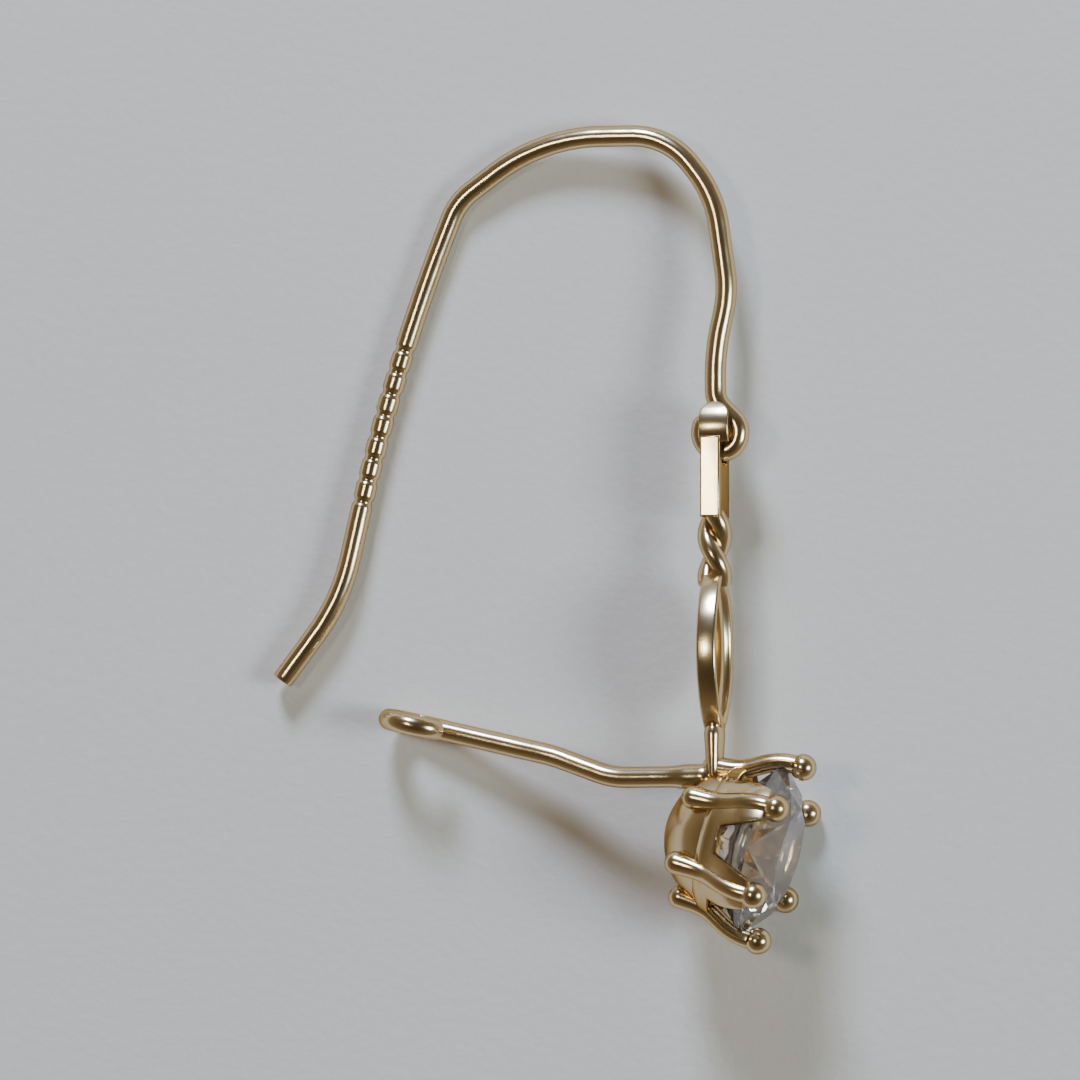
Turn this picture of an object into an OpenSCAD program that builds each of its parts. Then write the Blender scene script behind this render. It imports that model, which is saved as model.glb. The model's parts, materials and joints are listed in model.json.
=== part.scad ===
// Gold drop earring with a hinged ear wire, a rigid catch and a six-prong stone, lying on its side.
// The earring is drawn upright and flat first: x to its front, y up, z sideways, zero at the hinge.
// It is then laid down on the three places where it touches a table. All sizes are in millimetres.

/* [Stone] */
// Diameter of the round stone over its girdle
stone_d = 6.0; // [5.5:0.1:6.2]
// Width of the table, as a share of the diameter
table_share = 0.57; // [0.5:0.01:0.65]
// Slope of the crown's main facets in degrees
crown_angle = 34.5; // [30:0.5:38]
// Slope of the pavilion's main facets in degrees
pavilion_angle = 40.8; // [38:0.1:42]
// Height of the girdle band
girdle_h = 0.14; // [0.08:0.02:0.25]
// Gap left between the stone and its prongs
stone_gap = 0.03; // [0.02:0.01:0.05]

/* [Head] */
// Diameter of the prong wires
prong_d = 0.66; // [0.5:0.02:0.75]
// Diameter of the rounded prong tips
tip_d = 0.94; // [0.7:0.02:1]
// Thickness of the petals that the prongs run along
petal_t = 0.2; // [0.15:0.05:0.3]
// Width of the notch between two petals, at the cup's rim
notch_w = 1.0; // [0.6:0.1:1.4]
// Width of the same notch at the petals' ends
notch_top_w = 2.2; // [1.8:0.1:2.4]
// Depth of the head from the back of its cup to the prong tips
head_depth = 4.2; // [4:0.1:4.6]
// Height of the girdle above the back of the cup
girdle_height = 3.5; // [3.4:0.05:3.7]
// Radius of the cup's round back
cup_r = 2.5; // [2.3:0.05:2.7]
// Thickness of the cup's wall
cup_wall = 0.42; // [0.3:0.02:0.6]
// Height of the cup's rim above its back
cup_rim = 2.35; // [1.5:0.05:2.5]
// Angle that the stone looks down by, in degrees
head_tilt = 15; // [0:1:20]

/* [Drop] */
// Thickness of the drop's bar and leaf
plate_t = 0.7; // [0.5:0.05:0.9]
// Width of the bar under the hinge
bar_w = 1.7; // [1.5:0.05:2]
// Length of the leaf
leaf_l = 5.8; // [5:0.1:6]
// Width of the leaf
leaf_w = 3.1; // [2:0.1:3.2]
// Depth of the hollow in the leaf's face
leaf_dish = 0.2; // [0.1:0.05:0.3]

/* [Wires] */
// Diameter of the ear wire and of the catch wire
wire_d = 0.74; // [0.65:0.01:0.8]
// Radius of the ear wire's curled eye, to the middle of the wire
eye_r = 0.66; // [0.62:0.01:0.7]
// Radial play between the eye and the cross bar that it turns on
hinge_play = 0.045; // [0.02:0.005:0.08]
// Radius of the catch's curl, to the middle of the wire
curl_r = 0.93; // [0.85:0.01:1]
// Number of grip marks round the ear wire's back leg
mark_count = 8; // [0:1:9]

/* [Hidden] */

gold = [0.86, 0.71, 0.40];
glass_white = [0.86, 0.88, 0.92];
$fn = 48;

// Each row of a bend table is one straight length and the bend after it.
// The columns: straight length, roll of the wire before the bend, radius of the bend, turn to the left.
LENGTH = 0;
ROLL = 1;
RADIUS = 2;
TURN = 3;

// The ear wire, from its curled eye up the front, over the arch and down the back leg to the cut tip
ear_bends = [
    [0.53, 0, 0.9, -45],
    [0.5, 0, 8, -12],
    [0.6, 0, 4, 20],
    [1.6, 0, 4, 30],
    [0.35, 0, 2.6, 52],
    [1.1, 0, 6.5, 36],
    [1.0, 0, 2.2, 32],
    [0, 0, 70, 9],
    [1.4, 0, 7, -24],
    [2.0, 0, 0, 0],
];
eye_exit = 45;
eye_turn = 240;
// The row that the shoulder ends with, where the wire rests on the table, and the row of the long back leg
shoulder_row = 6;
leg_row = 7;

// The catch wire, from the head out to the open curl that the ear wire snaps into
catch_bends = [
    [2.7, 0, 3, -20],
    [1.4, 0, 6, 7],
    [4.5, 90, curl_r, 250],
];
catch_start = [-0.7, -11.95, 0];
catch_lean = 5.1;

// One prong, from its root on the cup to its tip
prong_bends = [
    [0.35, 0, 2.2, 24],
    [0.45, 0, 2.2, -37],
];
prong_count = 6;
prong_lean = 5;
prong_root = [1.15, 2.34, 0];
root_d = 0.8;
// How far the petals stand out from the prong's line, and where they start on the cup: height and depth in its wall
petal_out = 0.12;
petal_foot = 1.6;
petal_sink = 0.08;
// The prong whose tip touches the table
low_number = 5;

// Gap that each joint's ball fills, and how much wider than the wire the ball is
joint_gap = 0.01;
joint_swell = 0.02;

// Marks round the back leg: first one's distance along the leg, spacing, width and depth
mark_start = 4.9;
mark_pitch = 0.78;
mark_w = 0.16;
mark_depth = 0.05;

// Heights of the drop's stretches below the hinge, and the places of its middle plane and its head
plate_x = -0.2;
fork_y = -1.12;
twist_y = -2.95;
leaf_y = -7.55;
neck_y = -12.1;
head_at = [2.19, -14.68, 0];

cross_r = eye_r - wire_d / 2 - hinge_play;
// Play along the cross bar between the eye and the two sides of the fork, and the bar's steps back from them
side_play = 0.19;
fork_gap = wire_d + side_play;
cross_inset = 0.05;
// The rounded lobes that cover the eye's two sides: radius, middle and how far their straight sides go down
lobe_r = 0.52;
lobe_at = [-0.08, 0.55];
lobe_foot = -0.3;
strand_r = 0.3;
strand_out = 0.24;
twist_turn = 400;
neck_w = 1.15;
neck_foot_t = 0.5;
// Width of the leaf's rim beside its hollow, and how many times that width the rim has at the points
leaf_rim = 0.42;
rim_at_points = 1.5;
// How far the twist runs into the bar and into the leaf, and how far the neck runs into the leaf
twist_in_bar = 0.15;
twist_in_leaf = 0.5;
neck_in_leaf = 0.6;
twist_slices = 20;
strand_sides = 12;
arc_sides = 96;

stone_r = stone_d / 2;
table_r = stone_r * table_share;
// Where the points of the star facets and the lower end of the pavilion's long facets lie, as shares
star_share = 0.98;
low_share = 0.23;
crown_h = (stone_r - table_r) * tan(crown_angle);
pavilion_h = stone_r * tan(pavilion_angle);

// The middle of the box that the laid-down earring fills, seen from above
box_middle = [-6.218, -3.689];

function shift(v) = [[1, 0, 0, v.x], [0, 1, 0, v.y], [0, 0, 1, v.z], [0, 0, 0, 1]];
function turn_x(a) = [[1, 0, 0, 0], [0, cos(a), -sin(a), 0], [0, sin(a), cos(a), 0], [0, 0, 0, 1]];
function turn_y(a) = [[cos(a), 0, sin(a), 0], [0, 1, 0, 0], [-sin(a), 0, cos(a), 0], [0, 0, 0, 1]];
function turn_z(a) = [[cos(a), -sin(a), 0, 0], [sin(a), cos(a), 0, 0], [0, 0, 1, 0], [0, 0, 0, 1]];
function place(m, p) = let(q = m * [p.x, p.y, p.z, 1]) [q.x, q.y, q.z];

// The straight of a row ends, rolled, where its bend starts. The bend ends where the next row starts.
function bend_start(row) = shift([row[LENGTH], 0, 0]) * turn_x(row[ROLL]);
function bend_at(row, share) =
    let(out = sign(row[TURN]) * row[RADIUS])
    shift([0, out, 0]) * turn_z(share * row[TURN]) * shift([0, -out, 0]);
function bend_end(row) = bend_at(row, 1);
function after(rows, count) =
    count == 0 ? shift([0, 0, 0]) : after(rows, count - 1) * bend_start(rows[count - 1]) * bend_end(rows[count - 1]);

// Round wire bent by the rows of a table, starting along +x. A barely larger ball fills each joint.
module bent_wire(rows, d, row = 0) {
    step = rows[row];
    last = row + 1 == len(rows);
    sphere(d = d + joint_swell);
    if (step[LENGTH] > 0)
        translate([joint_gap, 0, 0]) rotate([0, 90, 0])
            cylinder(d = d, h = step[LENGTH] - (last ? 1 : 2) * joint_gap);
    multmatrix(bend_start(step)) {
        if (step[TURN] != 0) {
            if (step[LENGTH] > 0) sphere(d = d + joint_swell);
            mirror([0, step[TURN] < 0 ? 1 : 0, 0]) bend(step[RADIUS], abs(step[TURN]), d);
        }
        if (!last) multmatrix(bend_end(step)) bent_wire(rows, d, row + 1);
    }
}

// One bend to the left from the origin, a hair short at both ends
module bend(radius, turn, d) {
    trim = joint_gap / radius * 180 / PI;
    translate([0, radius, 0])
        rotate([0, 0, trim - 90])
            rotate_extrude(angle = turn - 2 * trim)
                translate([radius, 0]) circle(d = d);
}

// Where the wires and the head start
ear_start = turn_z(eye_exit) * shift([eye_r, 0, 0]) * turn_z(90);
catch_frame = shift(catch_start) * turn_z(180) * turn_y(catch_lean);
head_frame = shift(head_at) * turn_z(-head_tilt) * shift([-head_depth, 0, 0]);

// The three places that touch the table, each as a ball: a prong's tip, the catch's curl, the shoulder
function prong_turn(i) = turn_x(360 / prong_count * i);
function prong_frame(i) = head_frame * prong_turn(i) * shift(prong_root) * turn_z(prong_lean);
low_tip = prong_frame(low_number) * after(prong_bends, len(prong_bends));
curl_frame = catch_frame * after(catch_bends, 2) * bend_start(catch_bends[2]);
shoulder = ear_start * after(ear_bends, shoulder_row + 1);
touch = [place(low_tip, [0, 0, 0]), place(curl_frame, [0, curl_r, 0]), place(shoulder, [0, 0, 0])];
touch_r = [tip_d / 2, curl_r + wire_d / 2, (wire_d + joint_swell) / 2];

// The plane under the three balls: its upward normal, and its distance from the hinge
edge_a = touch[1] - touch[0];
edge_b = touch[2] - touch[0];
rise_a = touch_r[1] - touch_r[0];
rise_b = touch_r[2] - touch_r[0];
spread = edge_a * edge_a * (edge_b * edge_b) - pow(edge_a * edge_b, 2);
part_a = (rise_a * (edge_b * edge_b) - rise_b * (edge_a * edge_b)) / spread;
part_b = (rise_b * (edge_a * edge_a) - rise_a * (edge_a * edge_b)) / spread;
in_plane = part_a * edge_a + part_b * edge_b;
across = cross(edge_a, edge_b);
up = in_plane + sign(across.z) * sqrt(1 - in_plane * in_plane) * across / norm(across);
floor_d = up * touch[0] - touch_r[0];

// Turns the upright earring so that this plane is the table, with y still along the drop
side_y = [0, 1, 0] - up.y * up;
row_y = side_y / norm(side_y);
row_x = cross(row_y, up);
laid = [
    [row_x.x, row_x.y, row_x.z, -box_middle.x],
    [row_y.x, row_y.y, row_y.z, -box_middle.y],
    [up.x, up.y, up.z, -floor_d],
    [0, 0, 0, 1],
];

// Shallow grooves round the back leg
module grip_marks() {
    leg = ear_bends[leg_row];
    multmatrix(ear_start * after(ear_bends, leg_row))
        for (i = [0 : 1 : mark_count - 1]) {
            turned = (mark_start + i * mark_pitch) / leg[RADIUS] * 180 / PI;
            translate([0, leg[RADIUS], 0]) rotate([0, 0, turned]) translate([0, -leg[RADIUS], 0])
                rotate([0, 90, 0])
                    rotate_extrude()
                        translate([wire_d / 2 - mark_depth, -mark_w / 2]) square([2 * mark_depth, mark_w]);
        }
}

module ear_wire() {
    color(gold) multmatrix(laid)
        difference() {
            union() {
                rotate([0, 0, eye_exit - eye_turn])
                    translate([eye_r, 0, 0]) rotate([0, 0, 90]) bend(eye_r, eye_turn, wire_d);
                multmatrix(ear_start) bent_wire(ear_bends, wire_d);
            }
            grip_marks();
        }
}

// The fork that holds the cross bar, and the bar below it
module fork() {
    lobe_right = lobe_at.x + lobe_r;
    cylinder(r = cross_r, h = bar_w - 2 * cross_inset, center = true);
    difference() {
        linear_extrude(bar_w, center = true) {
            translate(lobe_at) circle(r = lobe_r);
            translate([lobe_at.x - lobe_r, lobe_foot]) square([2 * lobe_r, lobe_at.y - lobe_foot]);
            translate([plate_x - plate_t / 2, twist_y]) square([plate_t, -twist_y]);
        }
        linear_extrude(fork_gap, center = true)
            translate([-2 * lobe_r, fork_y]) square([lobe_right + 3 * lobe_r, 2 * lobe_at.y + lobe_r - fork_y]);
    }
}

// Two strands twisted round each other between the bar and the leaf
module twist() {
    top = twist_y + twist_in_bar;
    bottom = leaf_y + leaf_l / 2 - twist_in_leaf;
    translate([plate_x, bottom, 0]) rotate([-90, 0, 0])
        linear_extrude(top - bottom, twist = twist_turn, slices = twist_slices)
            for (side = [-1, 1]) translate([side * strand_out, 0]) circle(r = strand_r, $fn = strand_sides);
}

// A pointed oval, long along y
module marquise(length, width) {
    bow = (length * length + width * width) / (4 * width);
    intersection_for(side = [-1, 1])
        translate([side * (bow - width / 2), 0]) circle(r = bow, $fn = arc_sides);
}

module leaf() {
    translate([plate_x, leaf_y, 0]) rotate([0, 90, 0])
        difference() {
            linear_extrude(plate_t, center = true) marquise(leaf_l, leaf_w);
            translate([0, 0, plate_t / 2 - leaf_dish])
                linear_extrude(plate_t) marquise(leaf_l - 2 * rim_at_points * leaf_rim, leaf_w - 2 * leaf_rim);
        }
    foot_top = leaf_y - leaf_l / 2 + neck_in_leaf;
    linear_extrude(neck_w, center = true)
        polygon([
            [plate_x - plate_t / 2, foot_top],
            [plate_x - neck_foot_t / 2, neck_y],
            [plate_x + neck_foot_t / 2, neck_y],
            [plate_x + plate_t / 2, foot_top],
        ]);
}

// The space of the stone and its gap, as a turned body about x
module stone_seat() {
    wide = stone_r + stone_gap;
    low = -girdle_h / 2;
    translate([girdle_height, 0, 0]) rotate([0, 90, 0])
        rotate_extrude()
            polygon([
                [0, low - pavilion_h - 2 * stone_gap],
                [wide, low - stone_gap],
                [wide, -low + stone_gap],
                [table_r + stone_gap, crown_h - low + 2 * stone_gap],
                [0, crown_h - low + 2 * stone_gap],
            ]);
}

module cup() {
    translate([cup_r, 0, 0]) rotate([0, 90, 0])
        rotate_extrude()
            difference() {
                intersection() {
                    circle(r = cup_r, $fn = arc_sides);
                    translate([0, -cup_r]) square([cup_r, cup_rim]);
                }
                circle(r = cup_r - cup_wall, $fn = arc_sides);
            }
}

// A place on the prong's line as a radius and a height, for a share of one row's bend
function on_prong(row, share) =
    let(start = shift(prong_root) * turn_z(prong_lean) * after(prong_bends, row) * bend_start(prong_bends[row]))
    let(p = place(start * bend_at(prong_bends[row], share), [0, 0, 0]))
    [p.y, p.x];

// A turned shell along the prongs' line from the cup to the girdle, notched into one petal for each prong
module petals() {
    line = concat([for (i = [2 : 5]) on_prong(0, i / 5)], [for (i = [0 : 4]) on_prong(1, i / 5)]);
    count = len(line);
    foot = [sqrt(pow(cup_r, 2) - pow(cup_r - petal_foot, 2)) - petal_sink, petal_foot];
    top = line[count - 1].y;
    difference() {
        rotate([0, 90, 0])
            rotate_extrude()
                polygon(concat(
                    [foot],
                    [for (p = line) p + [petal_out, 0]],
                    [for (i = [1 : count]) line[count - i] + [petal_out - petal_t, 0]]
                ));
        for (i = [0 : prong_count - 1])
            rotate([360 / prong_count * (i + 0.5), 0, 0]) translate([0, stone_r / 2, 0]) rotate([-90, 0, 0])
                linear_extrude(stone_r)
                    polygon([
                        [cup_rim, -notch_w / 2],
                        [top + joint_gap, -notch_top_w / 2],
                        [top + joint_gap, notch_top_w / 2],
                        [cup_rim, notch_w / 2],
                    ]);
    }
}

module prong() {
    translate(prong_root) rotate([0, 0, prong_lean]) {
        sphere(d = root_d);
        bent_wire(prong_bends, prong_d);
        multmatrix(after(prong_bends, 2)) sphere(d = tip_d);
    }
}

module head() {
    multmatrix(head_frame)
        difference() {
            union() {
                cup();
                petals();
                for (i = [0 : prong_count - 1]) multmatrix(prong_turn(i)) prong();
            }
            stone_seat();
        }
}

module catch() {
    multmatrix(catch_frame) bent_wire(catch_bends, wire_d);
}

module drop() {
    color(gold) multmatrix(laid) {
        fork();
        twist();
        leaf();
        head();
        catch();
    }
}

// A round brilliant: eight-fold, with stars, kites and girdle facets above and below
function ring(n, r, z, first) =
    [for (i = [0 : n - 1]) [r * cos((i + first) * 360 / n), r * sin((i + first) * 360 / n), z]];

module stone() {
    fold = 8;
    half_step = 180 / fold;
    star_r = (table_r + stone_r) / 2 * star_share;
    star_z = girdle_h / 2 + crown_h - tan(crown_angle) * (star_r * cos(half_step) - table_r);
    low_r = stone_r * low_share;
    low_z = -girdle_h / 2 - pavilion_h + tan(pavilion_angle) * low_r * cos(half_step);
    points = concat(
        ring(fold, table_r, girdle_h / 2 + crown_h, 0),
        ring(fold, star_r, star_z, 0.5),
        ring(2 * fold, stone_r, girdle_h / 2, 0),
        ring(2 * fold, stone_r, -girdle_h / 2, 0),
        ring(fold, low_r, low_z, 0.5),
        [[0, 0, -girdle_h / 2 - pavilion_h]]
    );
    star = fold;
    top = 2 * fold;
    bottom = 4 * fold;
    low = 6 * fold;
    culet = 7 * fold;
    faces = concat(
        [[for (i = [0 : fold - 1]) fold - 1 - i]],
        [for (i = [0 : fold - 1]) let(n = (i + 1) % fold) [i, n, star + i]],
        [for (i = [0 : fold - 1]) let(b = (i + fold - 1) % fold) [i, star + i, top + 2 * i, star + b]],
        [for (i = [0 : fold - 1]) [star + i, top + 2 * i + 1, top + 2 * i]],
        [for (i = [0 : fold - 1]) let(n = (2 * i + 2) % (2 * fold)) [star + i, top + n, top + 2 * i + 1]],
        [for (i = [0 : 2 * fold - 1]) let(n = (i + 1) % (2 * fold)) [top + i, top + n, bottom + n, bottom + i]],
        [for (i = [0 : fold - 1]) [low + i, bottom + 2 * i, bottom + 2 * i + 1]],
        [for (i = [0 : fold - 1]) let(n = (2 * i + 2) % (2 * fold)) [low + i, bottom + 2 * i + 1, bottom + n]],
        [for (i = [0 : fold - 1]) let(b = (i + fold - 1) % fold) [culet, low + b, bottom + 2 * i, low + i]]
    );
    color(glass_white) multmatrix(laid) multmatrix(head_frame)
        translate([girdle_height, 0, 0]) rotate([0, 90, 0])
            polyhedron(points, faces);
}

ear_wire();
drop();
stone();
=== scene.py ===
import json
from math import asin, atan, cos, degrees, exp, pi, radians, sin, sqrt

import bmesh
import bpy
from mathutils import Matrix, Vector


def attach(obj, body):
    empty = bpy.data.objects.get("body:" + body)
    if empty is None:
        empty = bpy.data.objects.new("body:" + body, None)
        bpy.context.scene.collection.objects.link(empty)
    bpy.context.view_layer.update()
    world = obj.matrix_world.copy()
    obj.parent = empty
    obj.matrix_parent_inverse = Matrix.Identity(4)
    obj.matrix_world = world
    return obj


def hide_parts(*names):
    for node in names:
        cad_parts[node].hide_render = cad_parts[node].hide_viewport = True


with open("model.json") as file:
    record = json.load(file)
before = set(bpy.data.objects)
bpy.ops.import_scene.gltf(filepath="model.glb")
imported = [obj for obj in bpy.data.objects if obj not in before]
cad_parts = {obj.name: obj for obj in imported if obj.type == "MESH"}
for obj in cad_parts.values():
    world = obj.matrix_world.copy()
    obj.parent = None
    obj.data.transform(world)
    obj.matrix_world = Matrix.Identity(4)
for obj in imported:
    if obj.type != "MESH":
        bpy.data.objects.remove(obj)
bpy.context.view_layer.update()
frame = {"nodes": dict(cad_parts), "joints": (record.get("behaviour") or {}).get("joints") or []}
mm = 0.001
tiny = 0.001  # in mm: two measures that are nearer than this are the same

# The drop's own axes, in mm: x to its front, y up towards the arch, z out of the flat side, zero
# at the hinge. layDown turns them onto the table: the hinge's axis in the frame is this z, and y
# leans to neither side.
hinge = next(j for j in frame["joints"] if j["name"] == "ear_wire_hinge")
hingeZ = Vector(hinge["axis"]).normalized()
hingeY = Vector((0, hingeZ.z, -hingeZ.y)).normalized()
hingeX = hingeY.cross(hingeZ)
hingeAxes = Matrix((hingeX, hingeY, hingeZ)).transposed().to_4x4()
layDown = Matrix.Translation(hinge["pos_m"]) @ hingeAxes @ Matrix.Scale(mm, 4)


def shift(x, y=0, z=0):
    return Matrix.Translation((x, y, z))


def turn(angle, axis="Z"):
    return Matrix.Rotation(radians(angle), 4, axis)


def backwards(place):
    return place @ turn(180)


# Colours are written as sRGB hex and turned to linear here
def srgb(hexColour):
    parts = [int(hexColour[i:i + 2], 16) / 255 for i in (1, 3, 5)]
    return [*(c / 12.92 if c <= 0.04045 else ((c + 0.055) / 1.055) ** 2.4 for c in parts), 1]


def addNode(tree, kind, settings=None, links=None):
    node = tree.nodes.new(kind)
    for name, value in (settings or {}).items():
        if name in node.inputs:
            node.inputs[name].default_value = value
        else:
            setattr(node, name, value)
    for name, source in (links or {}).items():
        tree.links.new(source, node.inputs[name])
    return node


def newMaterial(name):
    material = bpy.data.materials.new(name)
    material.use_nodes = True
    material.node_tree.nodes.clear()
    return material, material.node_tree


mixA, mixB, mixOut = 6, 7, 2  # the colour sockets of a Mix node, whose names are shared with others

# 14 carat yellow gold, polished on a felt wheel: pale warm metal, softly mirror-like. The felt's
# lines are drawn coarser than real ones, which are too fine to show, and wide shallow dents give
# the uneven gleam of wire bent by hand.
gold = {"pale": "#e9d7b2", "warm": "#dabd8c", "edge": "#c4a273", "patchMm": 2.5,
        "roughness": 0.2, "smoothest": 0.75, "roughest": 1.35,
        "lineMm": 0.06, "lineDepthMm": 0.0015, "lineStrength": 0.35,
        "dentMm": 1.1, "dentDepthMm": 0.05, "dentStrength": 0.5}


def polishedGold():
    material, tree = newMaterial("polishedGold14k")
    spot = addNode(tree, "ShaderNodeTexCoord").outputs["Object"]
    patches = addNode(tree, "ShaderNodeTexNoise",
                      {"Scale": 1 / (gold["patchMm"] * mm), "Detail": 3.0}, {"Vector": spot})
    colour = addNode(tree, "ShaderNodeMix", {"data_type": "RGBA"}, {"Factor": patches.outputs["Fac"]})
    colour.inputs[mixA].default_value = srgb(gold["pale"])
    colour.inputs[mixB].default_value = srgb(gold["warm"])
    lines = addNode(tree, "ShaderNodeTexNoise",
                    {"Scale": 1 / (gold["lineMm"] * mm), "Detail": 2.0}, {"Vector": spot})
    dents = addNode(tree, "ShaderNodeTexNoise",
                    {"Scale": 1 / (gold["dentMm"] * mm), "Detail": 1.0}, {"Vector": spot})
    uneven = addNode(tree, "ShaderNodeBump",
                     {"Strength": gold["dentStrength"], "Distance": gold["dentDepthMm"] * mm},
                     {"Height": dents.outputs["Fac"]})
    bump = addNode(tree, "ShaderNodeBump",
                   {"Strength": gold["lineStrength"], "Distance": gold["lineDepthMm"] * mm},
                   {"Height": lines.outputs["Fac"], "Normal": uneven.outputs["Normal"]})
    rough = addNode(tree, "ShaderNodeMapRange",
                    {"To Min": gold["roughness"] * gold["smoothest"],
                     "To Max": gold["roughness"] * gold["roughest"]},
                    {"Value": patches.outputs["Fac"]})
    shader = addNode(tree, "ShaderNodeBsdfPrincipled",
                     {"Metallic": 1.0, "Specular Tint": srgb(gold["edge"])},
                     {"Base Color": colour.outputs[mixOut], "Roughness": rough.outputs["Result"],
                      "Normal": bump.outputs["Normal"]})
    addNode(tree, "ShaderNodeOutputMaterial", {}, {"Surface": shader.outputs["BSDF"]})
    return material


goldMaterial = polishedGold()


# A finished gold piece: laid on the table, shaded, and tied to its body; its CAD node is hidden
def addPiece(name, bm, body, node, sharpAbove=35, flatFaces=False):
    mergePoints(bm, within=0.0005)
    bmesh.ops.recalc_face_normals(bm, faces=bm.faces)
    bmesh.ops.transform(bm, matrix=layDown, space=Matrix(), verts=bm.verts)
    mesh = bpy.data.meshes.new(name)
    bm.to_mesh(mesh)
    bm.free()
    mesh.shade_smooth()
    mesh.set_sharp_from_angle(angle=radians(sharpAbove))
    mesh.materials.append(goldMaterial)
    piece = bpy.data.objects.new(name, mesh)
    bpy.context.scene.collection.objects.link(piece)
    if flatFaces:
        weighted = piece.modifiers.new("flatFaces", "WEIGHTED_NORMAL")
        weighted.keep_sharp = True
    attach(piece, body)
    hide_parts(node)


# What an operator made, sorted by kind
def vertsOf(made):
    return [item for item in made if isinstance(item, bmesh.types.BMVert)]


def edgesOf(made):
    return [item for item in made if isinstance(item, bmesh.types.BMEdge)]


def facesOf(made):
    return [item for item in made if isinstance(item, bmesh.types.BMFace)]


def everything(bm):
    return bm.verts[:] + bm.edges[:] + bm.faces[:]


def mergePoints(bm, within):
    bmesh.ops.remove_doubles(bm, verts=bm.verts, dist=within)


def cutAcross(bm, point, normal):
    bmesh.ops.bisect_plane(bm, geom=everything(bm), plane_co=point, plane_no=normal)


def sharpEdges(bm, above):
    return [edge for edge in bm.edges
            if len(edge.link_faces) == 2 and edge.calc_face_angle(0) > radians(above)]


def roundEdges(bm, edges, offset, segments):
    bmesh.ops.bevel(bm, geom=edges, offset=offset, segments=segments, profile=0.5,
                    affect="EDGES", clamp_overlap=True, material=-1)


# A line is drawn from point to point, straight or along an arc, and its new end comes back
def extrudeVert(bm, vert, move):
    made = bmesh.ops.extrude_vert_indiv(bm, verts=[vert])["verts"]
    bmesh.ops.translate(bm, verts=made, vec=move)
    return made[0]


def spinVert(bm, vert, centre, axis, angle, steps):
    made = bmesh.ops.spin(bm, geom=[vert], cent=centre, axis=axis, angle=angle, steps=steps)
    return vertsOf(made["geom_last"])[0]


# The faces that look along a direction, to within about 25 degrees
def facesAlong(bm, direction, nearly=0.9):
    return [face for face in bm.faces if face.normal.dot(Vector(direction)) > nearly]


# A flat outline is made a slab
def thickenFaces(bm, faces, move):
    made = bmesh.ops.extrude_face_region(bm, geom=faces, use_keep_orig=True)["geom"]
    bmesh.ops.translate(bm, verts=vertsOf(made), vec=move)
    bmesh.ops.recalc_face_normals(bm, faces=bm.faces)


# Faces are extruded where they are, and the old ones don't stay inside
def stepFaces(bm, faces):
    made = bmesh.ops.extrude_face_region(bm, geom=faces)["geom"]
    bmesh.ops.delete(bm, geom=faces, context="FACES_ONLY")
    return facesOf(made), vertsOf(made)


# A round bar along a list of (place, radius): each ring is extruded from the last one and carried
# to its place
def sweepRings(bm, rings, around=28):
    place, radius = rings[0]
    upright = place @ turn(90, "Y")
    ring = bmesh.ops.create_circle(bm, segments=around, radius=radius, matrix=upright)["verts"]
    edges = [edge for edge in bm.edges if edge.verts[0] in ring]
    bmesh.ops.edgeloop_fill(bm, edges=edges)
    for nextPlace, nextRadius in rings[1:]:
        made = bmesh.ops.extrude_edge_only(bm, edges=edges)["geom"]
        verts = vertsOf(made)
        edges = [edge for edge in edgesOf(made) if all(v in verts for v in edge.verts)]
        carry = nextPlace @ Matrix.Scale(nextRadius / radius, 4) @ place.inverted()
        bmesh.ops.transform(bm, matrix=carry, space=Matrix(), verts=verts)
        place, radius = nextPlace, nextRadius
    bmesh.ops.edgeloop_fill(bm, edges=edges)


# The places that a wire runs through, from rows of straight length, roll, bend radius and turn to
# the left
def bendPlaces(start, rows, spacing=0.16):
    places = [start]
    for length, roll, bendRadius, angle in rows:
        steps = max(1, round(length / spacing)) if length else 0
        base = places[-1]
        places += [base @ shift(length * (i + 1) / steps) for i in range(steps)]
        base = places[-1] @ turn(roll, "X")
        side = bendRadius if angle > 0 else -bendRadius
        steps = max(3, round(radians(abs(angle)) * bendRadius / spacing)) if angle else 0
        for i in range(steps):
            places.append(base @ shift(0, side) @ turn(angle * (i + 1) / steps) @ shift(0, -side))
        if not angle:
            places[-1] = base
    return places


# Rings that round off a wire's end into a bead, up to a small flat at its pole
def beadRings(place, radius, bead, steps, flat=0.12):
    first = asin(min(1, radius / bead))
    centre = place @ shift(bead * cos(first))
    angles = [first + (pi - flat - first) * (i + 1) / steps for i in range(steps)]
    return [(centre @ shift(-bead * cos(a)), bead * sin(a)) for a in angles]


# Rings that close a cut end with a narrow rounded chamfer, at these shares of its width
def cutRings(place, radius, chamfer=0.05):
    rings = []
    for part in (0.4, 0.75, 0.98):
        narrowed = radius - chamfer * (1 - sqrt(1 - part * part))
        rings.append((place @ shift(-chamfer * (1 - part)), narrowed))
    return rings


# Rings for the domed end that a wire starts with, nearly half a ball
def domedStart(places, radius, fullness=1.02, steps=6):
    dome = beadRings(backwards(places[0]), radius, radius * fullness, steps)
    return [(backwards(place), r) for place, r in reversed(dome)]


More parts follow.
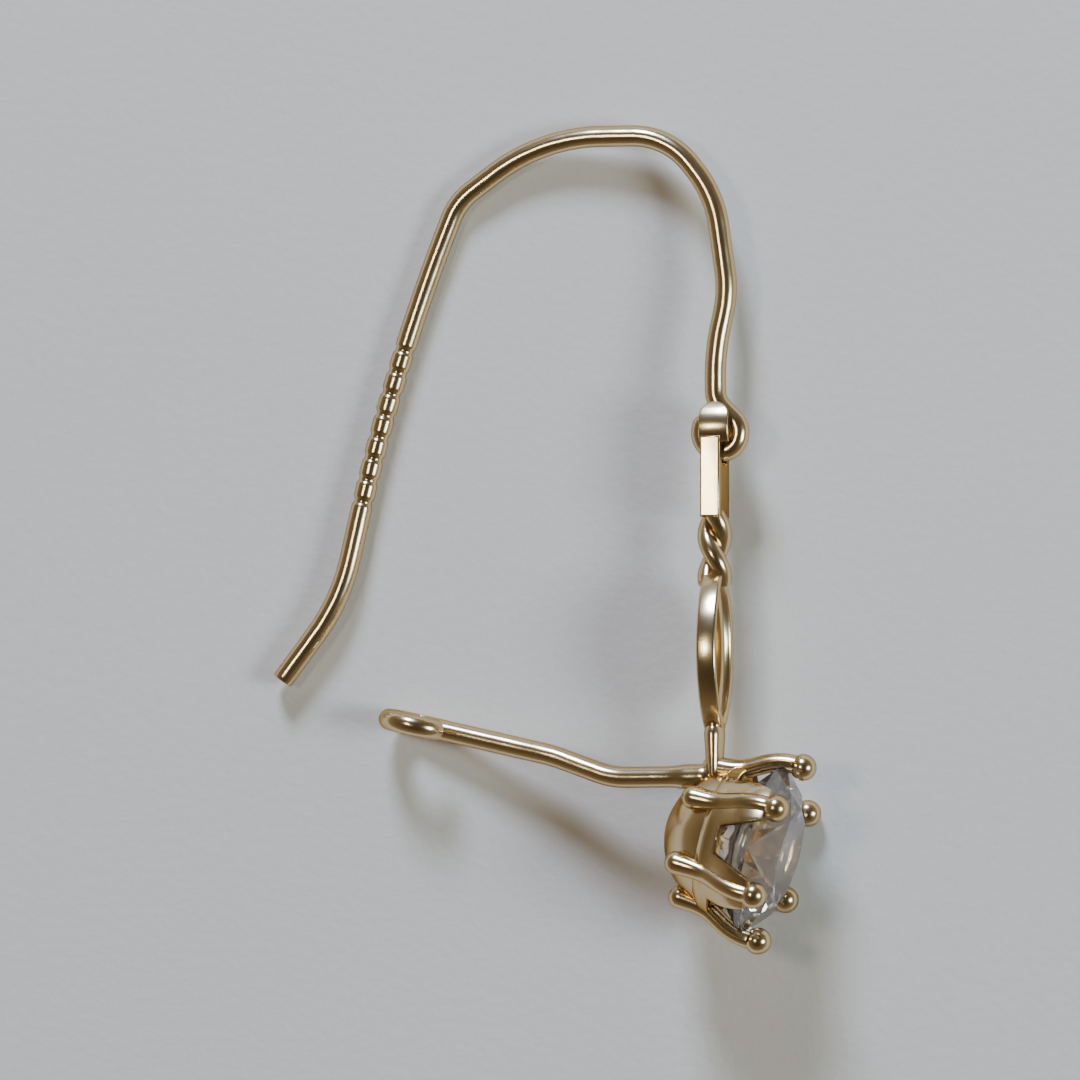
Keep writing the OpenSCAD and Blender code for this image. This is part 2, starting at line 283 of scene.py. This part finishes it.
# The ear wire. Its bends start at the eye, and the back leg, marked for grip, is row legRow.
wire = {"diameter": 0.74, "eyeRadius": 0.66, "eyeExit": 45, "eyeTurn": 240, "eyeSteps": 44,
        "markStart": 4.9, "markPitch": 0.78, "markCount": 8, "markWidth": 0.3, "markDepth": 0.065,
        "legRow": 7, "legSpacing": 0.055,
        "bends": [(0.53, 0, 0.9, -45), (0.5, 0, 8, -12), (0.6, 0, 4, 20), (1.6, 0, 4, 30),
                  (0.35, 0, 2.6, 52), (1.1, 0, 6.5, 36), (1.0, 0, 2.2, 32), (0, 0, 70, 9),
                  (1.4, 0, 7, -24), (2.0, 0, 0, 0)]}


def eyePlace(angle):
    return turn(angle) @ shift(wire["eyeRadius"]) @ turn(90)


def makeEarWire():
    radius = wire["diameter"] / 2
    bends, legRow, eyeSteps = wire["bends"], wire["legRow"], wire["eyeSteps"]
    eye = [eyePlace(wire["eyeExit"] - wire["eyeTurn"] * (1 - i / eyeSteps)) for i in range(eyeSteps)]
    arch = bendPlaces(eyePlace(wire["eyeExit"]), bends[:legRow])
    leg = bendPlaces(arch[-1], bends[legRow:legRow + 1], wire["legSpacing"])
    foot = bendPlaces(leg[-1], bends[legRow + 1:])
    legRadius, legAngle = bends[legRow][2:]
    legStep = radians(legAngle) * legRadius / (len(leg) - 1)
    legRings = []
    for i, place in enumerate(leg[1:]):
        along = (i + 1) * legStep - wire["markStart"]
        mark = round(along / wire["markPitch"])
        off = abs(along - mark * wire["markPitch"]) / (wire["markWidth"] / 2)
        marked = 0 <= mark < wire["markCount"]
        dip = wire["markDepth"] * max(0, 1 - off * off) if marked else 0
        legRings.append((place, radius - dip))
    rings = domedStart(eye, radius) + [(place, radius) for place in eye + arch]
    rings += legRings + [(place, radius) for place in foot[1:-1]]
    bm = bmesh.new()
    sweepRings(bm, rings + cutRings(foot[-1], radius))
    addPiece("earWire", bm, "ear_wire", "ear_wire")


makeEarWire()
print("ear wire made")

# The hinge bar: a flat bar slotted for the eye, a rounded lobe on each side of the slot, and a
# cross bar between them. The lobes fall off on their outer sides, away from a crest.
bar = {"thickness": 0.7, "width": 1.7, "middleX": -0.2, "foot": -2.95, "edge": 0.07,
       "slotTop": -1.12, "slotWidth": 0.93, "pinRadius": 0.245, "pinShort": 0.2, "pinSides": 28,
       "lobeX": -0.08, "lobeY": 0.55, "lobeRadius": 0.52, "lobeFoot": -0.34, "lobeSteps": 24,
       "lobeEdge": 0.12, "lobeEdgeFrom": 0.3, "lobeBands": 12, "intoLobe": 0.2,
       "lobeFall": 0.34, "lobeCrest": 0.38, "fallFrom": 0.05}


def addLobe(bm, z, slot, side):
    x, y, foot = bar["lobeX"], bar["lobeY"], bar["lobeFoot"]
    corner = bm.verts.new((x + bar["lobeRadius"], foot, z))
    shoulder = extrudeVert(bm, corner, (0, y - foot, 0))
    shoulder = spinVert(bm, shoulder, (x, y, z), (0, 0, 1), pi, bar["lobeSteps"])
    last = extrudeVert(bm, shoulder, (0, foot - y, 0))
    outline = [edge for edge in bm.edges if not edge.link_faces]
    outline.append(bm.edges.new((last, corner)))
    flat = bmesh.ops.edgeloop_fill(bm, edges=outline)["faces"]
    thickenFaces(bm, flat, (0, 0, side - slot))
    outer = []
    for face in bm.faces:
        middle = face.calc_center_median()
        if abs(abs(middle.z) - side) < tiny and middle.y > foot + bar["lobeEdgeFrom"]:
            outer.append(face)
    rim = [edge for edge in bm.edges if any(face in outer for face in edge.link_faces)]
    roundEdges(bm, rim, bar["lobeEdge"], segments=4)


# The lobes are cut into bands first, so that there are points that can fall
def dropLobes(bm, slot, side):
    foot = bar["lobeFoot"]
    height = bar["lobeY"] + bar["lobeRadius"] - foot
    for i in range(1, bar["lobeBands"]):
        cutAcross(bm, (0, foot + height * i / bar["lobeBands"], 0), (0, 1, 0))
    for vert in bm.verts:
        outwards = abs(vert.co.z) - slot
        if outwards > bar["fallFrom"]:
            part = (vert.co.y - foot) / height
            off = (part - bar["lobeCrest"]) / (1 - bar["lobeCrest"])
            fall = bar["lobeFall"] * off * off * outwards / (side - slot)
            vert.co.z -= fall if vert.co.z > 0 else -fall


def addBlock(bm, low, high):
    middle = [(a + b) / 2 for a, b in zip(low, high)]
    size = [b - a for a, b in zip(low, high)]
    place = shift(*middle) @ Matrix.Diagonal((*size, 1))
    return bmesh.ops.create_cube(bm, size=1, matrix=place)["verts"]


def makeHingeBar():
    bm = bmesh.new()
    left = bar["middleX"] - bar["thickness"] / 2
    right = left + bar["thickness"]
    side, slot = bar["width"] / 2, bar["slotWidth"] / 2
    for z in (-side, slot):
        addLobe(bm, z, slot, side)
    dropLobes(bm, slot, side)
    for z in (-side, slot):
        sideBar = addBlock(bm, (left, bar["foot"], z),
                           (right, bar["lobeFoot"] + bar["intoLobe"], z + side - slot))
        outer = [edge for edge in bm.edges if edge.verts[0] in sideBar
                 and all(abs(v.co.z) > slot + tiny for v in edge.verts)]
        roundEdges(bm, outer, bar["edge"], segments=3)
    addBlock(bm, (left, bar["foot"], -slot), (right, bar["slotTop"], slot))
    bmesh.ops.create_cone(bm, cap_ends=True, segments=bar["pinSides"], radius1=bar["pinRadius"],
                          radius2=bar["pinRadius"], depth=bar["width"] - bar["pinShort"])
    addPiece("hingeBar", bm, "drop", "drop", flatFaces=True)


makeHingeBar()
print("hinge bar made")

# The twist: two round strands turned round each other
twist = {"top": -2.75, "foot": -5.2, "strandRadius": 0.34, "out": 0.26, "turn": 300, "steps": 60,
         "sides": 24}


def makeTwist():
    bm = bmesh.new()
    length = twist["top"] - twist["foot"]
    lean = degrees(atan(twist["out"] * radians(twist["turn"]) / length))
    for side in (0, 180):
        rings = []
        for i in range(twist["steps"] + 1):
            part = i / twist["steps"]
            middle = shift(bar["middleX"], twist["top"] - length * part)
            spot = middle @ turn(side + 90 + twist["turn"] * part, "Y") @ shift(twist["out"])
            rings.append((spot @ turn(lean, "X") @ turn(-90), twist["strandRadius"]))
        sweepRings(bm, rings, twist["sides"])
    addPiece("twistedStrands", bm, "drop", "drop")


makeTwist()
print("twist made")

# The leaf: a pointed oval with a raised rim round a hollowed face. Each hollow ring gives its
# share of the leaf's length and width, and how deep it lies in mm.
leaf = {"length": 5.8, "width": 3.1, "thickness": 0.7, "middle": -7.55, "edge": 0.13, "steps": 24,
        "hollow": [(0.9, 0.84, 0.0), (0.885, 0.81, 0.1), (0.87, 0.78, 0.22), (0.84, 0.73, 0.3),
                   (0.7, 0.58, 0.34), (0.4, 0.3, 0.35), (0.05, 0.04, 0.35)]}


def makeLeaf():
    bm = bmesh.new()
    bow = (leaf["length"] ** 2 + leaf["width"] ** 2) / (4 * leaf["width"])
    side = bow - leaf["width"] / 2
    arc = 2 * asin(leaf["length"] / 2 / bow)
    back = bar["middleX"] - leaf["thickness"] / 2
    tip = bm.verts.new((back, leaf["middle"] + leaf["length"] / 2, 0))
    for z in (-side, side):
        tip = spinVert(bm, tip, (back, leaf["middle"], z), (1, 0, 0), arc, leaf["steps"])
    mergePoints(bm, within=tiny)
    bmesh.ops.holes_fill(bm, edges=bm.edges)
    thickenFaces(bm, bm.faces[:], (leaf["thickness"], 0, 0))
    face = facesAlong(bm, (1, 0, 0))
    middle = shift(0, -leaf["middle"])
    long, wide, deep = 1, 1, 0
    for nextLong, nextWide, nextDeep in leaf["hollow"]:
        face, verts = stepFaces(bm, face)
        share = (1, nextLong / long, nextWide / wide)
        bmesh.ops.scale(bm, vec=share, space=middle, verts=verts)
        bmesh.ops.translate(bm, verts=verts, vec=(deep - nextDeep, 0, 0))
        long, wide, deep = nextLong, nextWide, nextDeep
    surface = leaf["thickness"] / 2 - tiny
    outerEdges = [edge for edge in sharpEdges(bm, above=50)
                  if all(abs(v.co.x - bar["middleX"]) > surface for v in edge.verts)]
    roundEdges(bm, outerEdges, leaf["edge"], segments=4)
    addPiece("hollowedLeaf", bm, "drop", "drop", sharpAbove=50, flatFaces=True)


# The neck: an oval bar that narrows to the head and ends in a dome in the leaf's tip
neck = {"width": 1.15, "thickness": 0.72, "footThickness": 0.5, "foot": -12.25, "belowLeaf": 0.06,
        "dome": 0.6, "domeSteps": 6, "domeStep": 0.95, "sides": 40}


def makeNeck():
    bm = bmesh.new()
    top = leaf["middle"] - leaf["length"] / 2 - neck["belowLeaf"]
    place = shift(bar["middleX"], (top + neck["foot"]) / 2) @ turn(-90, "X")
    widen = Matrix.Diagonal((1, neck["width"] / neck["thickness"], 1, 1))
    bmesh.ops.create_cone(bm, cap_ends=True, segments=neck["sides"],
                          radius1=neck["footThickness"] / 2, radius2=neck["thickness"] / 2,
                          depth=top - neck["foot"], matrix=place @ widen)
    cap = facesAlong(bm, (0, 1, 0))
    middle = shift(-bar["middleX"])
    for i in range(neck["domeSteps"]):
        cap, verts = stepFaces(bm, cap)
        low = sin(pi / 2 * i / neck["domeSteps"])
        high = sin(pi / 2 * (i + neck["domeStep"]) / neck["domeSteps"])
        narrow = sqrt(1 - high * high) / sqrt(1 - low * low)
        bmesh.ops.scale(bm, vec=(narrow, 1, narrow), space=middle, verts=verts)
        bmesh.ops.translate(bm, verts=verts, vec=(0, neck["dome"] * (high - low), 0))
    addPiece("leafNeck", bm, "drop", "drop")


makeLeaf()
makeNeck()
print("leaf and neck made")

# The head: a round-backed cup with curved prongs, in its own axes with x towards the stone's table
head = {"at": (2.19, -14.68, 0), "tilt": 15, "depth": 4.2,
        "cupRadius": 2.5, "cupWall": 0.42, "cupRim": 2.35, "cupEdge": 0.1, "cupSteps": 20,
        "cupSides": 72, "prongCount": 6, "prongRoot": (1.15, 2.34, 0), "prongLean": 5,
        "prongBends": [(0.35, 0, 2.2, 24), (0.45, 0, 2.2, -37)], "prongSpacing": 0.1,
        "rootRadius": 0.4, "rootPart": 1 / 3, "prongRadius": 0.33, "tipRadius": 0.469,
        "tipSteps": 12, "tipLap": 3}
headPlace = shift(*head["at"]) @ turn(-head["tilt"]) @ shift(-head["depth"])


def prongPlaces(spot):
    root = spot @ shift(*head["prongRoot"]) @ turn(head["prongLean"])
    return bendPlaces(root, head["prongBends"], head["prongSpacing"])


def makeCup():
    bm = bmesh.new()
    radius, wall, rim = head["cupRadius"], head["cupWall"], head["cupRim"]
    ends = []
    for bowl in (radius, radius - wall):
        pole = bm.verts.new((radius - bowl, 0, 0))
        arc = pi / 2 - asin((radius - rim) / bowl)
        ends.append(spinVert(bm, pole, (radius, 0, 0), (0, 0, -1), arc, head["cupSteps"]))
    bm.edges.new(ends)
    bmesh.ops.spin(bm, geom=everything(bm), cent=(0, 0, 0), axis=(1, 0, 0), angle=2 * pi,
                   steps=head["cupSides"], use_merge=True)
    mergePoints(bm, within=0.002)
    bmesh.ops.recalc_face_normals(bm, faces=bm.faces)
    roundEdges(bm, sharpEdges(bm, above=50), head["cupEdge"], segments=4)
    bmesh.ops.transform(bm, matrix=headPlace, space=Matrix(), verts=bm.verts)
    addPiece("headCup", bm, "drop", "drop")


# One petal beside each prong: a sheet turned about the head's axis along the prong's line, cut out
# by two notches and repeated round the head
petal = {"foot": 1.6, "start": 1.85, "end": 3.87, "out": 0.12, "sink": 0.08, "thickness": 0.2,
         "edge": 0.06, "notchWidth": 1.0, "notchTopWidth": 2.2, "steps": 12}


def cutNotch(bm, side, half):
    rim = head["cupRim"]
    spread = (petal["notchTopWidth"] - petal["notchWidth"]) / 2 / (petal["end"] - rim)
    aim = turn(side * half, "X")
    onPlane = aim @ Vector((rim, 0, -side * petal["notchWidth"] / 2))
    outwards = (aim @ Vector((spread, 0, side))).normalized()
    cutAcross(bm, onPlane, outwards)
    notch = []
    for face in bm.faces:
        middle = face.calc_center_median()
        if (middle - onPlane).dot(outwards) > 0 and middle.x > rim:
            notch.append(face)
    bmesh.ops.delete(bm, geom=notch, context="FACES")


def makePetals():
    bm = bmesh.new()
    radius, count = head["cupRadius"], head["prongCount"]
    footOut = sqrt(radius ** 2 - (radius - petal["foot"]) ** 2) - petal["sink"]
    vert = bm.verts.new((petal["foot"], footOut, 0))
    for place in prongPlaces(Matrix()):
        point = place.translation + Vector((0, petal["out"], 0))
        if petal["start"] < point.x < petal["end"]:
            vert = extrudeVert(bm, vert, point - vert.co)
    half = 180 / count
    bmesh.ops.rotate(bm, cent=(0, 0, 0), matrix=turn(-half, "X"), verts=bm.verts)
    bmesh.ops.spin(bm, geom=everything(bm), cent=(0, 0, 0), axis=(1, 0, 0),
                   angle=radians(2 * half), steps=petal["steps"])
    cutAcross(bm, (head["cupRim"], 0, 0), (1, 0, 0))
    for side in (-1, 1):
        cutNotch(bm, side, half)
    bmesh.ops.spin(bm, geom=everything(bm), cent=(0, 0, 0), axis=(1, 0, 0), use_duplicate=True,
                   angle=radians(2 * half * (count - 1)), steps=count - 1)
    mergePoints(bm, within=0.003)
    bmesh.ops.recalc_face_normals(bm, faces=bm.faces)
    bmesh.ops.solidify(bm, geom=bm.faces[:], thickness=petal["thickness"])
    roundEdges(bm, sharpEdges(bm, above=60), petal["edge"], segments=2)
    bmesh.ops.transform(bm, matrix=headPlace, space=Matrix(), verts=bm.verts)
    addPiece("headPetals", bm, "drop", "drop")


def makeProngs():
    bm = bmesh.new()
    thick, thin, tip = head["rootRadius"], head["prongRadius"], head["tipRadius"]
    for i in range(head["prongCount"]):
        places = prongPlaces(headPlace @ turn(360 / head["prongCount"] * i, "X"))
        rootSteps = (len(places) - 1) * head["rootPart"]
        rings = [(place, thick + (thin - thick) * min(1, k / rootSteps))
                 for k, place in enumerate(places)]
        bead = beadRings(places[-1] @ shift(-sqrt(tip ** 2 - thin ** 2)), thin, tip, head["tipSteps"])
        sweepRings(bm, domedStart(places, thick) + rings[:-head["tipLap"]] + bead)
    addPiece("headProngs", bm, "drop", "drop")


makeCup()
makePetals()
makeProngs()
print("head made")

# The catch wire: from the back of the head, with a fillet of solder at its root, out to an open curl
catch = {"start": (-0.7, -11.95, 0), "lean": 5.1,
         "bends": [(2.7, 0, 3, -20), (1.4, 0, 6, 7), (4.5, 90, 0.93, 250)],
         "solderRise": 0.07, "solderLength": 0.35, "solderStart": 0.5}


def makeCatch():
    bm = bmesh.new()
    radius = wire["diameter"] / 2
    start = backwards(shift(*catch["start"])) @ turn(catch["lean"], "Y")
    places = bendPlaces(start, catch["bends"])
    rings = []
    for place in places[:-1]:
        fromRoot = (place.translation - start.translation).length
        past = max(0, fromRoot - catch["solderStart"]) / catch["solderLength"]
        rings.append((place, radius + catch["solderRise"] * exp(-past * past)))
    sweepRings(bm, domedStart(places, rings[0][1]) + rings + cutRings(places[-1], radius))
    addPiece("catchWire", bm, "drop", "drop")


makeCatch()
print("catch made")

# Cubic zirconia, cut and polished to mirror facets: nearly colourless, very bright, no grain, with
# the faintest wear
stone = {"ior": 2.0, "body": "#fdf0e4", "clear": 0.96, "wearMm": 1.2, "wearRoughness": 0.02}


def cutZirconia():
    material, tree = newMaterial("cutCubicZirconia")
    spot = addNode(tree, "ShaderNodeTexCoord").outputs["Object"]
    wear = addNode(tree, "ShaderNodeTexNoise",
                   {"Scale": 1 / (stone["wearMm"] * mm), "Detail": 2.0}, {"Vector": spot})
    rough = addNode(tree, "ShaderNodeMapRange",
                    {"To Min": 0.0, "To Max": stone["wearRoughness"]}, {"Value": wear.outputs["Fac"]})
    shader = addNode(tree, "ShaderNodeBsdfPrincipled",
                     {"Base Color": srgb(stone["body"]), "IOR": stone["ior"],
                      "Transmission Weight": stone["clear"]},
                     {"Roughness": rough.outputs["Result"]})
    addNode(tree, "ShaderNodeOutputMaterial", {}, {"Surface": shader.outputs["BSDF"]})
    return material


# The CAD solid has the right facets, so it only gets its material
stoneObject = frame["nodes"]["stone"]
stoneObject.data.materials.clear()
stoneObject.data.materials.append(cutZirconia())
print("stone set")

# Uncoated writing paper, calendered: matt, nearly white, with a faint tooth, which is drawn coarser
# than a real one so that it shows
paper = {"colour": "#e3dacf", "shade": "#ddd4ca", "cloudMm": 18, "roughness": 0.9, "shine": 0.15,
         "toothMm": 0.35, "toothDepthMm": 0.05, "toothStrength": 0.4}


def writingPaper():
    material, tree = newMaterial("writingPaper")
    spot = addNode(tree, "ShaderNodeTexCoord").outputs["Object"]
    cloud = addNode(tree, "ShaderNodeTexNoise",
                    {"Scale": 1 / (paper["cloudMm"] * mm), "Detail": 2.0}, {"Vector": spot})
    colour = addNode(tree, "ShaderNodeMix", {"data_type": "RGBA"}, {"Factor": cloud.outputs["Fac"]})
    colour.inputs[mixA].default_value = srgb(paper["colour"])
    colour.inputs[mixB].default_value = srgb(paper["shade"])
    tooth = addNode(tree, "ShaderNodeTexNoise",
                    {"Scale": 1 / (paper["toothMm"] * mm), "Detail": 4.0}, {"Vector": spot})
    bump = addNode(tree, "ShaderNodeBump",
                   {"Strength": paper["toothStrength"], "Distance": paper["toothDepthMm"] * mm},
                   {"Height": tooth.outputs["Fac"]})
    shader = addNode(tree, "ShaderNodeBsdfPrincipled",
                     {"Roughness": paper["roughness"], "Specular IOR Level": paper["shine"]},
                     {"Base Color": colour.outputs[mixOut], "Normal": bump.outputs["Normal"]})
    addNode(tree, "ShaderNodeOutputMaterial", {}, {"Surface": shader.outputs["BSDF"]})
    return material


# The stage, in metres and degrees. A lamp's side is counted from the picture's top towards its left,
# and view is the camera's direction in the drop's own axes.
stage = {"floorSize": 1.2, "overhead": "#7d6a50", "overheadFrom": 0.85,
         "horizon": "#f3dbb0", "horizonTo": 0.12, "worldStrength": 0.28, "lampDistance": 0.45,
         "key": {"power": 2.75, "size": 0.12, "elevation": 30, "side": 9, "colour": "#c8ddff"},
         "room": {"power": 1.2, "size": 0.16, "elevation": 38, "side": -95, "colour": "#dcf4ff"},
         "ceiling": {"power": 0.3, "size": 0.075, "elevation": 68.5, "side": 73, "colour": "#fff9e4"},
         "view": (0.22, -0.048, 0.97), "distance": 0.6, "aimHeight": 0.003, "frameWidth": 0.0375,
         "sensorMm": 36, "clipStart": 0.005}


def addFloor():
    bm = bmesh.new()
    bmesh.ops.create_grid(bm, x_segments=1, y_segments=1, size=stage["floorSize"] / 2)
    mesh = bpy.data.meshes.new("paperFloor")
    bm.to_mesh(mesh)
    bm.free()
    mesh.materials.append(writingPaper())
    floor = bpy.data.objects.new("paperFloor", mesh)
    bpy.context.scene.collection.objects.link(floor)


# A soft room: warm and pale at the horizon, darker overhead
def addWorld():
    world = bpy.data.worlds.new("softRoom")
    bpy.context.scene.world = world
    world.use_nodes = True
    tree = world.node_tree
    tree.nodes.clear()
    coord = addNode(tree, "ShaderNodeTexCoord")
    parts = addNode(tree, "ShaderNodeSeparateXYZ", {}, {"Vector": coord.outputs["Generated"]})
    ramp = addNode(tree, "ShaderNodeValToRGB", {}, {"Fac": parts.outputs["Z"]})
    horizon, overhead = ramp.color_ramp.elements
    horizon.position = stage["horizonTo"]
    horizon.color = srgb(stage["horizon"])
    overhead.position = stage["overheadFrom"]
    overhead.color = srgb(stage["overhead"])
    glow = addNode(tree, "ShaderNodeBackground", {"Strength": stage["worldStrength"]},
                   {"Color": ramp.outputs["Color"]})
    addNode(tree, "ShaderNodeOutputWorld", {}, {"Surface": glow.outputs["Background"]})


# A round soft lamp, pointed at the table's middle
def addLamp(name):
    lamp = stage[name]
    light = bpy.data.lights.new(name + "Light", "AREA")
    light.shape = "DISK"
    light.size = lamp["size"]
    light.energy = lamp["power"]
    light.color = srgb(lamp["colour"])[:3]
    side, height = radians(lamp["side"]), radians(lamp["elevation"])
    towards = Vector((-sin(side) * cos(height), cos(side) * cos(height), sin(height)))
    aim = towards.to_track_quat("Z", "Y").to_matrix().to_4x4()
    piece = bpy.data.objects.new(name + "Light", light)
    piece.matrix_world = Matrix.Translation(towards * stage["lampDistance"]) @ aim
    bpy.context.scene.collection.objects.link(piece)


def addCamera():
    camera = bpy.data.cameras.new("camera")
    camera.sensor_width = stage["sensorMm"]
    camera.lens = stage["sensorMm"] * stage["distance"] / stage["frameWidth"]
    camera.clip_start = stage["clipStart"]
    back = (layDown.to_3x3() @ Vector(stage["view"])).normalized()
    right = (layDown.to_3x3() @ Vector((0, 1, 0))).cross(back).normalized()
    axes = Matrix((right, back.cross(right), back)).transposed().to_4x4()
    spot = Vector((0, 0, stage["aimHeight"])) + back * stage["distance"]
    eye = bpy.data.objects.new("camera", camera)
    eye.matrix_world = Matrix.Translation(spot) @ axes
    bpy.context.scene.collection.objects.link(eye)
    bpy.context.scene.camera = eye


addFloor()
addWorld()
for lampName in ("key", "room", "ceiling"):
    addLamp(lampName)
addCamera()
print("stage, light and camera set")
